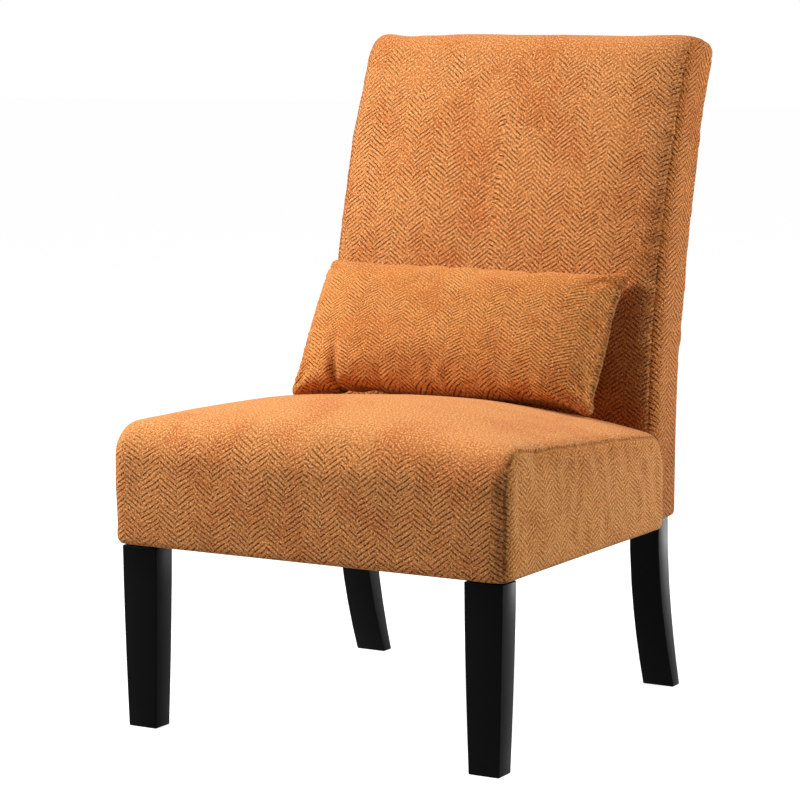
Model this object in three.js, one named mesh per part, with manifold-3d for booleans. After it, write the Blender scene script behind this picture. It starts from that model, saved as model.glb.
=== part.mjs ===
// A slipper chair: an armless upholstered chair with a sprung-web seat, a curved back on two
// sabre-shaped rear posts, two tapered front legs and a loose lumbar pillow.
// Millimetres, +Z up, the chair faces -Y and +X is on the right of someone who looks along +Y.

import * as THREE from 'three';
import { mergeVertices } from 'three/addons/utils/BufferGeometryUtils.js';
import Module from 'manifold-3d';

const wasm = await Module();
wasm.setup();

// Clearances and helpers' sizes
const fit = 0.3;
const overrun = 20;
const weldTolerance = 0.0001;
const arcSteps = 4;
const spineSteps = 12;
const boardSteps = 2;

// Seat
const seatWidth = 570;
const seatDepth = 475;
const seatUnderside = 239;
const seatSideHeight = 159;
const seatRearDrop = 33;
const seatCrown = 45;
const frontRollRadius = 46;
const rearRollRadius = 28;
const sideEdgeRadius = 15;
const hemRadius = 9;
const frontCornerRadius = 20;
const rearCornerRadius = 36;
const crownPeakShare = 0.45;
const crownFrontShare = 0.45;
const crownRearShare = 0.65;
const coverThickness = 1.6;
const seamInset = 7;
const seamGap = 0.3;
const coverTurnUnder = 33;

// Seat frame
const railThickness = 22;
const railHeight = 68;
const sideRailInset = 18;
const rearRailInset = 34;
const cornerBlockLeg = 58;
const cornerBlockHeight = 34;
const cornerBlockDrop = 22;
const dustCoverThickness = 1;

// Seat suspension
const webWidth = 50;
const webThickness = 1.5;
const webWeaveGap = 0.5;
const webBendRun = 3;
const deckPadThickness = 4;
const lengthwiseWebShares = [-0.5, 0, 0.5];
const crosswiseWebShares = [0.24, 0.5, 0.76];

// Back
const backSideSetback = 30;
const backWidth = seatWidth - 2 * backSideSetback;
const chairHeight = 890;
const backUnderside = 249;
const backFrontDepth = 44;
const backFrontThinning = 8;
const backRearDepth = 42.5;
const backSweep = 117;
const backSweepPower = 2.5;
const backTopFrontRadius = 24;
const backTopRearRadius = 20;
const backTopCornerRadius = 14;
const backFrontCornerRadius = 20;
const backRearCornerRadius = 7;
const backHemRadius = 5;
const backSeamInset = 6;
const rearPanelLap = 7;
const rearPanelTopDrop = 24;
const seatToBackGap = 0.6;

// Back frame
const postWidth = 40;
const postInset = 3.3;
const postPadding = 8;
const postFrontDepth = 16.5;
const postRearDepth = 33;
const postTopDrop = 22;
const postWidening = 35;
const backRailThickness = 20;
const backRailFrontDepth = 4;
const bottomRailHeight = 46;
const middleRailHeight = 60;
const middleRailCentre = 560;
const topRailHeight = 55;
const mountingRailThickness = 14;
const mountingRailHeight = 96;
const mountingRailLift = 12;
const backWebWidth = 60;
const backWebThickness = 1.5;
const backWebShares = [0.13, 0.55, 0.76];
const rearWaddingThickness = 5;

// Legs
const frontLegTopWidth = 49.7;
const frontLegTopDepth = 35.6;
const frontLegFootWidth = 40;
const frontLegFootDepth = 30;
const frontLegInset = 9.6;
const frontLegSetback = 7;
const legTaperPower = 1.5;
const rearFootWidth = 43.6;
const rearFootDepth = 21.4;
const rearLegSweep = 57;
const rearLegSweepPower = 1.8;

// Fasteners
const boltRadius = 4;
const boltClearance = 0.3;
const legBoltInLeg = 34;
const legBoltInRail = 28;
const legInsertRadius = 6;
const legInsertLength = 20;
const legBoltSetback = 27;
const backBoltHeadRadius = 6.5;
const backBoltHeadHeight = 6;
const backBoltLift = 49;
const backBoltTail = 6;
const backBoltShares = [-0.95, -0.35, 0.35, 0.95];
const teeNutFlangeRadius = 11;
const teeNutFlangeThickness = 1.5;
const teeNutBarrelRadius = 5.4;
const teeNutBarrelLength = 9;
const foamRelief = 4;
const boltSides = 12;

// Pillow
const pillowLength = 456;
const pillowHeight = 204;
const pillowThickness = 118;
const pillowLongDrawIn = 13;
const pillowShortDrawIn = 9;
const pillowEdgeThickness = 4;
const pillowLeanDegrees = 29;
const pillowOffset = -17;
const pillowRestGap = 0.5;
const pillowRimSlope = 2.5;
const pillowLengthwisePower = 2.6;
const pillowUprightPower = 2.4;
const pillowSwellPower = 0.6;
const pillowCoverThickness = 1.5;
const pillowFillGap = 0.4;

// Materials
function fabric(colour) {
  return new THREE.MeshStandardMaterial({ color: colour, roughness: 0.95, metalness: 0 });
}

function timber(colour, roughness) {
  return new THREE.MeshStandardMaterial({ color: colour, roughness, metalness: 0 });
}

function zincSteel() {
  return new THREE.MeshStandardMaterial({ color: '#b9bcc0', roughness: 0.35, metalness: 1 });
}

const chenille = '#d07c37';
const sideChenille = '#c98446';
const blackWood = '#17161a';
const pine = '#d9b98a';
const foamCream = '#e9dcae';
const webbingBlack = '#33322f';
const feltGrey = '#8d8a84';
const blackCambric = '#1d1d1f';
const insertWhite = '#ece9e2';

const chair = new THREE.Group();

function piece(name, geometry, material) {
  geometry.computeVertexNormals();
  const mesh = new THREE.Mesh(geometry, material);
  mesh.name = name;
  chair.add(mesh);
  return mesh;
}

// Closed lofts: rings of equally many points, joined in order and capped at both ends
function closedLoft(rings, capPlane) {
  const count = rings[0].length;
  const positions = rings.flat().flatMap((p) => [p.x, p.y, p.z]);
  const faces = [];
  for (let i = 0; i < rings.length - 1; i += 1) {
    for (let j = 0; j < count; j += 1) {
      const next = (j + 1) % count;
      const a = i * count + j;
      const b = i * count + next;
      const c = (i + 1) * count + next;
      const d = (i + 1) * count + j;
      faces.push([a, b, c], [a, c, d]);
    }
  }
  const last = (rings.length - 1) * count;
  const outline = (ring) => ring.map((p) => new THREE.Vector2(p[capPlane[0]], p[capPlane[1]]));
  const firstTurn = Math.sign(THREE.ShapeUtils.area(outline(rings[0])));
  for (const [a, b, c] of THREE.ShapeUtils.triangulateShape(outline(rings[0]), [])) {
    faces.push(firstTurn > 0 ? [a, c, b] : [a, b, c]);
  }
  for (const [a, b, c] of THREE.ShapeUtils.triangulateShape(outline(rings.at(-1)), [])) {
    faces.push(firstTurn > 0 ? [last + a, last + b, last + c] : [last + a, last + c, last + b]);
  }
  const geometry = new THREE.BufferGeometry();
  geometry.setAttribute('position', new THREE.Float32BufferAttribute(positions, 3));
  const outward = loftVolume(rings.flat(), faces) > 0;
  geometry.setIndex(faces.flatMap(([a, b, c]) => (outward ? [a, b, c] : [a, c, b])));
  return geometry;
}

function loftVolume(points, faces) {
  const cross = new THREE.Vector3();
  let total = 0;
  for (const [a, b, c] of faces) {
    cross.crossVectors(points[b], points[c]);
    total += points[a].dot(cross);
  }
  return total;
}

// Cuts and joins
function solidOf(geometry) {
  const bare = geometry.clone();
  bare.deleteAttribute('normal');
  bare.deleteAttribute('uv');
  const welded = mergeVertices(bare, weldTolerance);
  return new wasm.Manifold(new wasm.Mesh({
    numProp: 3,
    vertProperties: Float32Array.from(welded.attributes.position.array),
    triVerts: Uint32Array.from(welded.index.array),
  }));
}

function geometryOf(solid) {
  const mesh = solid.getMesh();
  const geometry = new THREE.BufferGeometry();
  geometry.setAttribute('position', new THREE.Float32BufferAttribute(mesh.vertProperties, 3));
  geometry.setIndex(new THREE.Uint32BufferAttribute(mesh.triVerts, 1));
  return geometry;
}

function boxBetween(low, high) {
  const size = new THREE.Vector3().subVectors(high, low);
  const geometry = new THREE.BoxGeometry(size.x, size.y, size.z);
  const centre = new THREE.Vector3().addVectors(low, high).multiplyScalar(0.5);
  return geometry.translate(centre.x, centre.y, centre.z);
}

function point(x, y, z) {
  return new THREE.Vector3(x, y, z);
}

function uprightCylinder(radius, low, high, x, y) {
  const geometry = new THREE.CylinderGeometry(radius, radius, high - low, boltSides);
  return geometry.rotateX(Math.PI / 2).translate(x, y, (low + high) / 2);
}

function levelCylinder(radius, front, rear, x, z) {
  const geometry = new THREE.CylinderGeometry(radius, radius, rear - front, boltSides);
  return geometry.translate(x, (front + rear) / 2, z);
}

// How far an edge has fallen back at a distance past the start of its rounding
function rounding(beyond, radius) {
  const reach = Math.min(Math.max(beyond, 0), radius);
  return radius - Math.sqrt(radius * radius - reach * reach);
}

function arc(centreA, centreB, radius, fromDegrees, toDegrees) {
  const points = [];
  for (let i = 0; i <= arcSteps; i += 1) {
    const angle = THREE.MathUtils.degToRad(fromDegrees + ((toDegrees - fromDegrees) * i) / arcSteps);
    points.push([centreA + radius * Math.cos(angle), centreB + radius * Math.sin(angle)]);
  }
  return points;
}

// Places across the width for the rings of a soft body, close together where its sides round off
function slicePlaces(halfWidth, roundedWidth, flatShares) {
  const places = [];
  const roundDegrees = [25, 48, 68, 90];
  for (const share of flatShares) {
    places.push(share * (halfWidth - roundedWidth));
  }
  for (const degrees of roundDegrees) {
    places.push(halfWidth - roundedWidth * (1 - Math.sin(THREE.MathUtils.degToRad(degrees))));
  }
  const left = places.slice(1).reverse().map((x) => -x);
  return [...left, ...places];
}

// Seat shape: a side outline for each place across the width
function seatEdgeHeight(y) {
  return seatUnderside + seatSideHeight - (seatRearDrop * y) / seatDepth;
}

function seatTop(x, y) {
  const along = y / seatDepth - crownPeakShare;
  const reach = along < 0 ? crownFrontShare : crownRearShare;
  const lengthwise = 1 - Math.min(1, Math.abs(along / reach)) ** 3;
  const across = 1 - Math.min(1, Math.abs(x) / (seatWidth / 2)) ** 3;
  return seatEdgeHeight(y) + seatCrown * lengthwise * across;
}

function seatRing(x, inset) {
  const halfWidth = seatWidth / 2 - inset;
  const fallen = (radius) => rounding(Math.abs(x) - halfWidth + radius - inset, radius - inset);
  const front = inset + fallen(frontCornerRadius);
  const rear = seatDepth - inset - fallen(rearCornerRadius);
  const bottom = seatUnderside + inset + fallen(hemRadius);
  const top = (y) => seatTop(x, y) - inset - fallen(sideEdgeRadius);
  const frontRoll = frontRollRadius - inset;
  const rearRoll = rearRollRadius - inset;
  const hem = hemRadius - inset;
  const crownStart = rear - rearRoll;
  const crownEnd = front + frontRoll;
  const crownShares = [0.12, 0.28, 0.46, 0.64, 0.82];
  const crown = crownShares.map((share) => {
    const y = crownStart + share * (crownEnd - crownStart);
    return [y, top(y)];
  });
  const outline = [
    ...arc(front + hem, bottom + hem, hem, 180, 270),
    ...arc(rear - hem, bottom + hem, hem, 270, 360),
    ...arc(crownStart, top(crownStart) - rearRoll, rearRoll, 0, 90),
    ...crown,
    ...arc(crownEnd, top(crownEnd) - frontRoll, frontRoll, 90, 180),
  ];
  return outline.map(([y, z]) => point(x, y, z));
}

function seatBody(inset) {
  const places = slicePlaces(seatWidth / 2 - inset, rearCornerRadius - inset, [0, 0.4, 0.75, 1]);
  return solidOf(closedLoft(places.map((x) => seatRing(x, inset)), ['y', 'z']));
}

// Back shape: a curved centre line, its spine, with depths in front of it and behind it
const spineBase = seatDepth + seatToBackGap + backFrontDepth;
const spineSpan = chairHeight - backUnderside;

function spineShare(height) {
  return Math.max(0, (height - backUnderside) / spineSpan);
}

function spineLean(height) {
  const rise = spineShare(height) ** (backSweepPower - 1);
  return Math.atan((backSweep * backSweepPower * rise) / spineSpan);
}

// The place at a height along the spine and a depth behind it, or in front where it is negative
function fromSpine(x, height, depth) {
  const lean = spineLean(height);
  const spine = spineBase + backSweep * spineShare(height) ** backSweepPower;
  return point(x, spine + depth * Math.cos(lean), height - depth * Math.sin(lean));
}

function backFront(height) {
  return backFrontDepth - backFrontThinning * spineShare(height) ** 3;
}

// The end of the spine at which the rounded top edge just reaches the chair's height
function spineTopHeight() {
  const rounds = 6;
  let top = chairHeight;
  for (let round = 0; round < rounds; round += 1) {
    const centre = top - backTopFrontRadius;
    const edge = arc(backTopFrontRadius - backFront(centre), centre, backTopFrontRadius, 90, 180);
    const highest = Math.max(...edge.map(([depth, height]) => fromSpine(0, height, depth).z));
    top += chairHeight - highest;
  }
  return top;
}

const spineTop = spineTopHeight();

// A slab that follows the spine between two heights, with its front and rear at given depths
function spineSlab(left, right, low, high, front, rear, steps) {
  const rings = [];
  for (let i = 0; i <= steps; i += 1) {
    const height = low + ((high - low) * i) / steps;
    rings.push([
      fromSpine(left, height, front),
      fromSpine(right, height, front),
      fromSpine(right, height, rear),
      fromSpine(left, height, rear),
    ]);
  }
  return closedLoft(rings, ['x', 'y']);
}

function backRing(x, inset, bottomDrop) {
  const halfWidth = backWidth / 2 - inset;
  const fallen = (radius) => rounding(Math.abs(x) - halfWidth + radius - inset, radius - inset);
  const rear = backRearDepth - inset - fallen(backRearCornerRadius);
  const closed = backUnderside + inset + fallen(backHemRadius);
  const bottom = closed - bottomDrop;
  const top = spineTop - inset - fallen(backTopCornerRadius);
  const front = (height) => inset + fallen(backFrontCornerRadius) - backFront(height);
  const hem = backHemRadius - inset;
  const topFront = backTopFrontRadius - inset;
  const topRear = backTopRearRadius - inset;
  const faceShares = [0.16, 0.32, 0.46, 0.58, 0.69, 0.79, 0.88, 0.95];
  const low = bottom + hem;
  const rearHigh = top - topRear;
  const frontHigh = top - topFront;
  const rearFace = faceShares.map((share) => [rear, closed + share * (rearHigh - closed)]);
  const frontFace = faceShares.map((share) => {
    const height = closed + share * (frontHigh - closed);
    return [front(height), height];
  });
  const outline = [
    ...arc(front(low) + hem, low, hem, 180, 270),
    ...arc(rear - hem, low, hem, 270, 360),
    ...rearFace,
    ...arc(rear - topRear, rearHigh, topRear, 0, 90),
    ...arc(front(frontHigh) + topFront, frontHigh, topFront, 90, 180),
    ...frontFace.reverse(),
  ];
  return outline.map(([depth, height]) => fromSpine(x, height, depth));
}

function backBody(inset, bottomDrop) {
  const places = slicePlaces(backWidth / 2 - inset, backFrontCornerRadius - inset, [0, 1]);
  return solidOf(closedLoft(places.map((x) => backRing(x, inset, bottomDrop)), ['y', 'z']));
}

// Sizes that follow from the seat
const seatHalf = seatWidth / 2;
const frameBottom = seatUnderside + coverThickness + fit;
const frameTop = frameBottom + railHeight;
const sideRailOuter = seatHalf - sideRailInset;
const sideRailInner = sideRailOuter - railThickness;
const frontRailFront = sideRailInset;
const frontRailRear = frontRailFront + railThickness;
const rearRailRear = seatDepth - coverThickness - 2 * fit;
const rearRailFront = rearRailRear - railThickness;
const rearRailHalf = seatHalf - rearRailInset;
const legTop = seatUnderside - fit;
const frontLegCentre = seatHalf - frontLegInset - frontLegTopWidth / 2;

// Front legs: square sections that taper to the foot, with a blind hole for the hanger bolt
function frontLegSection(x, height) {
  const drop = (1 - height / legTop) ** legTaperPower;
  const halfWidth = (frontLegTopWidth - (frontLegTopWidth - frontLegFootWidth) * drop) / 2;
  const halfDepth = (frontLegTopDepth - (frontLegTopDepth - frontLegFootDepth) * drop) / 2;
  const y = frontLegSetback + frontLegTopDepth / 2;
  return [
    point(x - halfWidth, y - halfDepth, height),
    point(x + halfWidth, y - halfDepth, height),
    point(x + halfWidth, y + halfDepth, height),
    point(x - halfWidth, y + halfDepth, height),
  ];
}

function legBoltHole(x, radius, low, high) {
  return solidOf(uprightCylinder(radius, low, high, x, legBoltSetback));
}

function makeFrontLegs() {
  const heightShares = [0, 0.2, 0.4, 0.6, 0.8, 1];
  for (const [side, sign] of [['left', -1], ['right', 1]]) {
    const x = sign * frontLegCentre;
    const sections = heightShares.map((share) => frontLegSection(x, share * legTop));
    const block = solidOf(closedLoft(sections, ['x', 'y']));
    const holeBottom = legTop - legBoltInLeg - fit;
    const hole = legBoltHole(x, boltRadius + boltClearance, holeBottom, legTop + overrun);
    piece(`front_leg_${side}`, geometryOf(block.subtract(hole)), timber(blackWood, 0.4));
    const bolt = uprightCylinder(boltRadius, legTop - legBoltInLeg, legTop + legBoltInRail, x, legBoltSetback);
    piece(`front_leg_hanger_bolt_${side}`, bolt, zincSteel());
    const insertTop = frameBottom + legInsertLength;
    const insert = solidOf(uprightCylinder(legInsertRadius, frameBottom, insertTop, x, legBoltSetback));
    const thread = legBoltHole(x, boltRadius + boltClearance, frameBottom - overrun, insertTop + overrun);
    piece(`front_leg_insert_nut_${side}`, geometryOf(insert.subtract(thread)), zincSteel());
  }
}

// Rear posts: leg and back post in one board, black below the upholstery's edge
function rearLegFront(height) {
  return fromSpine(0, backUnderside, -postFrontDepth).y
    + rearLegSweep * Math.max(0, 1 - height / legTop) ** rearLegSweepPower;
}

function rearLegDepth(height) {
  const drop = Math.max(0, 1 - height / legTop) ** 2;
  return 2 * postFrontDepth - (2 * postFrontDepth - rearFootDepth) * drop;
}

function makeRearPosts() {
  const outer = backWidth / 2 - postInset;
  const legShares = [0, 0.15, 0.3, 0.45, 0.6, 0.8, 1];
  const shoulder = backUnderside - fit;
  const padded = backUnderside + coverThickness;
  const postTop = spineTop - postTopDrop;
  for (const [side, sign] of [['left', -1], ['right', 1]]) {
    const section = (inner, edge, height, front, rear) => [
      point(sign * inner, front, height),
      point(sign * edge, front, height),
      point(sign * edge, rear, height),
      point(sign * inner, rear, height),
    ];
    const rings = legShares.map((share) => {
      const height = share * shoulder;
      const width = rearFootWidth + (postWidth - rearFootWidth) * share;
      const front = rearLegFront(height);
      return section(outer - width, outer, height, front, front + rearLegDepth(height));
    });
    const paddedOuter = outer - postPadding;
    const inner = outer - postWidth;
    const legFront = rearLegFront(padded);
    rings.push(section(inner, paddedOuter, padded, legFront, legFront + rearLegDepth(padded)));
    const postBase = padded + postWidening;
    for (let step = 0; step <= spineSteps; step += 1) {
      const height = postBase + (step / spineSteps) * (postTop - postBase);
      rings.push([
        fromSpine(sign * inner, height, -postFrontDepth),
        fromSpine(sign * paddedOuter, height, -postFrontDepth),
        fromSpine(sign * paddedOuter, height, postRearDepth),
        fromSpine(sign * inner, height, postRearDepth),
      ]);
    }
    piece(`rear_post_${side}`, closedLoft(rings, ['x', 'y']), timber(blackWood, 0.4));
  }
}

// Seat frame: four rails and four glued corner blocks
function makeSeatFrame() {
  const railWood = () => timber(pine, 0.8);
  const frontRail = solidOf(boxBetween(
    point(-sideRailOuter, frontRailFront, frameBottom),
    point(sideRailOuter, frontRailRear, frameTop),
  ));
  const insertHoles = [-1, 1].map((sign) => legBoltHole(
    sign * frontLegCentre,
    legInsertRadius + fit,
    frameBottom - overrun,
    legTop + legBoltInRail + boltRadius,
  ));
  piece('seat_front_rail', geometryOf(frontRail.subtract(insertHoles[0]).subtract(insertHoles[1])), railWood());
  let rearRail = solidOf(boxBetween(
    point(-rearRailHalf, rearRailFront, frameBottom),
    point(rearRailHalf, rearRailRear, frameTop),
  ));
  for (const hole of backBoltHoles(boltRadius + boltClearance)) {
    rearRail = rearRail.subtract(hole);
  }
  rearRail = rearRail.intersect(seatBody(coverThickness + fit));
  piece('seat_rear_rail', geometryOf(rearRail), railWood());
  for (const [side, sign] of [['left', -1], ['right', 1]]) {
    const middle = (sign * (sideRailInner + sideRailOuter)) / 2;
    piece(`seat_side_rail_${side}`, boxBetween(
      point(middle - railThickness / 2, frontRailRear + fit, frameBottom),
      point(middle + railThickness / 2, rearRailFront - fit, frameTop),
    ), railWood());
    const ends = [['front', frontRailRear + fit, 1], ['rear', rearRailFront - fit, -1]];
    for (const [end, y, away] of ends) {
      const corner = sideRailInner - fit;
      const outline = new THREE.Shape();
      outline.moveTo(sign * corner, y);
      outline.lineTo(sign * (corner - cornerBlockLeg), y);
      outline.lineTo(sign * corner, y + away * cornerBlockLeg);
      const block = new THREE.ExtrudeGeometry(outline, { depth: cornerBlockHeight, bevelEnabled: false });
      block.translate(0, 0, frameBottom + cornerBlockDrop - cornerBlockHeight / 2);
      piece(`corner_block_${end}_${side}`, block, railWood());
    }
  }
}

// Woven seat webbing, stapled to the rails and passing over and under at each crossing
const weaveLift = (webThickness + webWeaveGap) / 2;
const webLevel = frameTop + fit + webThickness / 2;
const deckPadBottom = webLevel + weaveLift + webThickness / 2 + fit;
const foamBottom = deckPadBottom + deckPadThickness + fit;

function wovenBand(start, end, crossings, firstSide) {
  const stations = [[start, 0]];
  const rest = webWidth / 2 + webBendRun;
  stations.push([start + railThickness, 0]);
  crossings.forEach((place, i) => {
    const lift = weaveLift * firstSide * (i % 2 === 0 ? 1 : -1);
    stations.push([place - rest, lift], [place + rest, lift]);
  });
  stations.push([end - railThickness, 0], [end, 0]);
  return stations.map(([along, lift]) => [
    [along, -webWidth / 2, webLevel + lift - webThickness / 2],
    [along, webWidth / 2, webLevel + lift - webThickness / 2],
    [along, webWidth / 2, webLevel + lift + webThickness / 2],
    [along, -webWidth / 2, webLevel + lift + webThickness / 2],
  ]);
}

function makeSeatWebbing() {
  const lengthwise = lengthwiseWebShares.map((share) => share * sideRailInner);
  const crosswise = crosswiseWebShares.map((share) => share * seatDepth);
  lengthwise.forEach((x, i) => {
    const band = wovenBand(frontRailFront, rearRailRear, crosswise, i % 2 === 0 ? 1 : -1);
    const rings = band.map((ring) => ring.map(([along, across, z]) => point(x + across, along, z)));
    piece(`seat_webbing_lengthwise_${i + 1}`, closedLoft(rings, ['x', 'z']), fabric(webbingBlack));
  });
  crosswise.forEach((y, i) => {
    const band = wovenBand(-sideRailOuter, sideRailOuter, lengthwise, i % 2 === 0 ? -1 : 1);
    const rings = band.map((ring) => ring.map(([along, across, z]) => point(along, y + across, z)));
    piece(`seat_webbing_crosswise_${i + 1}`, closedLoft(rings, ['y', 'z']), fabric(webbingBlack));
  });
}

// Seat padding: a felt deck pad on the webbing and a foam block that wraps the frame's sides
function makeSeatPadding() {
  piece('seat_deck_pad', boxBetween(
    point(-rearRailHalf, frontRailFront, deckPadBottom),
    point(rearRailHalf, rearRailRear - fit, deckPadBottom + deckPadThickness),
  ), fabric(feltGrey));
  const pocket = solidOf(boxBetween(
    point(-sideRailOuter - fit, frontRailFront - fit, seatUnderside - overrun),
    point(sideRailOuter + fit, seatDepth + overrun, foamBottom),
  ));
  const foam = seatBody(coverThickness + fit).subtract(pocket);
  piece('seat_foam', geometryOf(foam), fabric(foamCream));
}

// Seat cover: a front-and-top panel between two side panels, turned under the rails
function makeSeatCover() {
  const turnUnder = solidOf(boxBetween(
    point(coverTurnUnder - seatHalf, coverTurnUnder, seatUnderside - overrun),
    point(seatHalf - coverTurnUnder, seatDepth - coverTurnUnder, frameBottom),
  ));
  let shell = seatBody(0).subtract(seatBody(coverThickness)).subtract(turnUnder);
  const holes = backBoltHoles(boltRadius + boltClearance);
  for (const sign of [-1, 1]) {
    const x = sign * frontLegCentre;
    holes.push(legBoltHole(x, boltRadius + boltClearance, seatUnderside - overrun, frameBottom));
  }
  for (const hole of holes) {
    shell = shell.subtract(hole);
  }
  const seam = seatHalf - seamInset;
  const slab = (left, right) => solidOf(boxBetween(
    point(left, -overrun, seatUnderside - overrun),
    point(right, seatDepth + overrun, seatUnderside + seatSideHeight + seatCrown + overrun),
  ));
  const main = shell.intersect(slab(seamGap - seam, seam - seamGap));
  piece('seat_cover_main_panel', geometryOf(main), fabric(chenille));
  const left = shell.intersect(slab(-seatHalf - overrun, -seam));
  piece('seat_cover_side_panel_left', geometryOf(left), fabric(sideChenille));
  const right = shell.intersect(slab(seam, seatHalf + overrun));
  piece('seat_cover_side_panel_right', geometryOf(right), fabric(sideChenille));
  const edge = coverTurnUnder + fit;
  const dustTop = frameBottom - fit;
  piece('seat_dust_cover', boxBetween(
    point(edge - seatHalf, edge, dustTop - dustCoverThickness),
    point(seatHalf - edge, seatDepth - edge, dustTop),
  ), fabric(blackCambric));
}

// Back frame: three rails between the posts, a mounting rail for the seat and three webs
const postOuter = backWidth / 2 - postInset - postPadding;
const postInner = backWidth / 2 - postInset - postWidth;
const boltHeight = frameBottom + backBoltLift;
const mountingRear = -postFrontDepth - fit;
const mountingFront = mountingRear - mountingRailThickness;
const mountingLow = backUnderside + mountingRailLift;
const mountingTop = mountingLow + mountingRailHeight;

function backBoltPlaces() {
  return backBoltShares.map((share) => share * (postInner - teeNutFlangeRadius));
}

function backBoltHoles(radius) {
  return backBoltPlaces().map((x) => solidOf(levelCylinder(
    radius,
    rearRailFront - overrun,
    spineBase + overrun,
    x,
    boltHeight,
  )));
}

function makeBackFrame() {
  const railWood = () => timber(pine, 0.8);
  const half = postInner - fit;
  const front = -backRailFrontDepth;
  const rear = front + backRailThickness;
  const bottomRailLow = backUnderside + coverThickness + fit;
  const middleLow = middleRailCentre - middleRailHeight / 2;
  const postTop = spineTop - postTopDrop;
  const rails = [
    ['back_bottom_rail', bottomRailLow, bottomRailLow + bottomRailHeight],
    ['back_middle_rail', middleLow, middleLow + middleRailHeight],
    ['back_top_rail', postTop - topRailHeight, postTop],
  ];
  for (const [name, low, high] of rails) {
    piece(name, spineSlab(-half, half, low, high, front, rear, boardSteps), railWood());
  }
  let mounting = solidOf(boxBetween(
    point(-postOuter, spineBase + mountingFront, mountingLow),
    point(postOuter, spineBase + mountingRear, mountingTop),
  ));
  for (const hole of backBoltHoles(teeNutBarrelRadius + fit)) {
    mounting = mounting.subtract(hole);
  }
  piece('back_mounting_rail', geometryOf(mounting), railWood());
  backWebShares.forEach((share, i) => {
    const low = mountingTop + share * (spineTop - mountingTop) - backWebWidth / 2;
    const webFront = mountingRear - backWebThickness;
    const web = spineSlab(-postOuter, postOuter, low, low + backWebWidth, webFront, mountingRear, boardSteps);
    piece(`back_webbing_${i + 1}`, web, fabric(webbingBlack));
  });
}

// Bolts through the seat's rear rail into tee nuts in the back's mounting rail
function makeBackBolts() {
  const boardRear = spineBase + mountingRear;
  backBoltPlaces().forEach((x, i) => {
    const headFront = rearRailFront - fit - backBoltHeadHeight;
    const head = solidOf(levelCylinder(backBoltHeadRadius, headFront, rearRailFront - fit, x, boltHeight));
    const tail = boardRear + fit + teeNutFlangeThickness + backBoltTail;
    const shank = solidOf(levelCylinder(boltRadius, headFront, tail, x, boltHeight));
    piece(`seat_to_back_bolt_${i + 1}`, geometryOf(head.add(shank)), zincSteel());
    const flangeFront = boardRear + fit;
    const flange = solidOf(levelCylinder(
      teeNutFlangeRadius,
      flangeFront,
      flangeFront + teeNutFlangeThickness,
      x,
      boltHeight,
    ));
    const barrel = solidOf(levelCylinder(
      teeNutBarrelRadius,
      flangeFront - teeNutBarrelLength,
      flangeFront + teeNutFlangeThickness,
      x,
      boltHeight,
    ));
    const thread = solidOf(levelCylinder(
      boltRadius + boltClearance,
      flangeFront - overrun,
      flangeFront + overrun,
      x,
      boltHeight,
    ));
    piece(`tee_nut_${i + 1}`, geometryOf(flange.add(barrel).subtract(thread)), zincSteel());
  });
}

// Back padding: a foam pad that wraps the posts and the top, and thin wadding behind the frame
function makeBackPadding() {
  const inset = coverThickness + fit;
  const frameFront = mountingRear - backWebThickness - 2 * fit;
  const low = backUnderside - overrun;
  const postTop = spineTop - postTopDrop;
  const envelope = solidOf(spineSlab(
    -postOuter - fit,
    postOuter + fit,
    low,
    postTop + fit,
    frameFront,
    backRearDepth + overrun,
    spineSteps,
  ));
  const mountingPocket = solidOf(boxBetween(
    point(-postOuter - fit, spineBase + mountingFront - fit, low),
    point(postOuter + fit, spineBase + backRearDepth, mountingTop + fit),
  ));
  let foam = backBody(inset, 0).subtract(envelope).subtract(mountingPocket);
  for (const hole of backBoltHoles(boltRadius + foamRelief)) {
    foam = foam.subtract(hole);
  }
  piece('back_foam', geometryOf(foam), fabric(foamCream));
  const waddingFront = backRearDepth - coverThickness - fit - rearWaddingThickness;
  const wadding = backBody(inset, 0).intersect(solidOf(spineSlab(
    -postOuter,
    postOuter,
    backUnderside + inset + backHemRadius,
    postTop,
    waddingFront,
    backRearDepth + overrun,
    spineSteps,
  )));
  piece('back_rear_wadding', geometryOf(wadding), fabric(insertWhite));
}

// Back cover: front panel carried over the top, two side panels and an outside back panel
function makeBackCover() {
  let shell = backBody(0, 0).subtract(backBody(coverThickness, overrun));
  for (const hole of backBoltHoles(boltRadius + boltClearance)) {
    shell = shell.subtract(hole);
  }
  const far = backWidth / 2 + overrun;
  const low = backUnderside - overrun;
  const rearSlab = (gap) => solidOf(spineSlab(
    -far,
    far,
    low,
    spineTop - rearPanelTopDrop + gap,
    backRearDepth - rearPanelLap - gap,
    backRearDepth + overrun,
    spineSteps,
  ));
  const seam = backWidth / 2 - backSeamInset;
  const reach = backSweep + backRearDepth + overrun;
  const sideSlab = (left, right) => solidOf(boxBetween(
    point(left, spineBase - backFrontDepth - overrun, low),
    point(right, spineBase + reach, chairHeight + overrun),
  ));
  const rest = shell.subtract(rearSlab(seamGap));
  piece('back_cover_rear_panel', geometryOf(shell.intersect(rearSlab(0))), fabric(chenille));
  const front = rest.intersect(sideSlab(seamGap - seam, seam - seamGap));
  piece('back_cover_front_panel', geometryOf(front), fabric(chenille));
  piece('back_cover_side_panel_left', geometryOf(rest.intersect(sideSlab(-far, -seam))), fabric(sideChenille));
  piece('back_cover_side_panel_right', geometryOf(rest.intersect(sideSlab(seam, far))), fabric(sideChenille));
}

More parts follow.
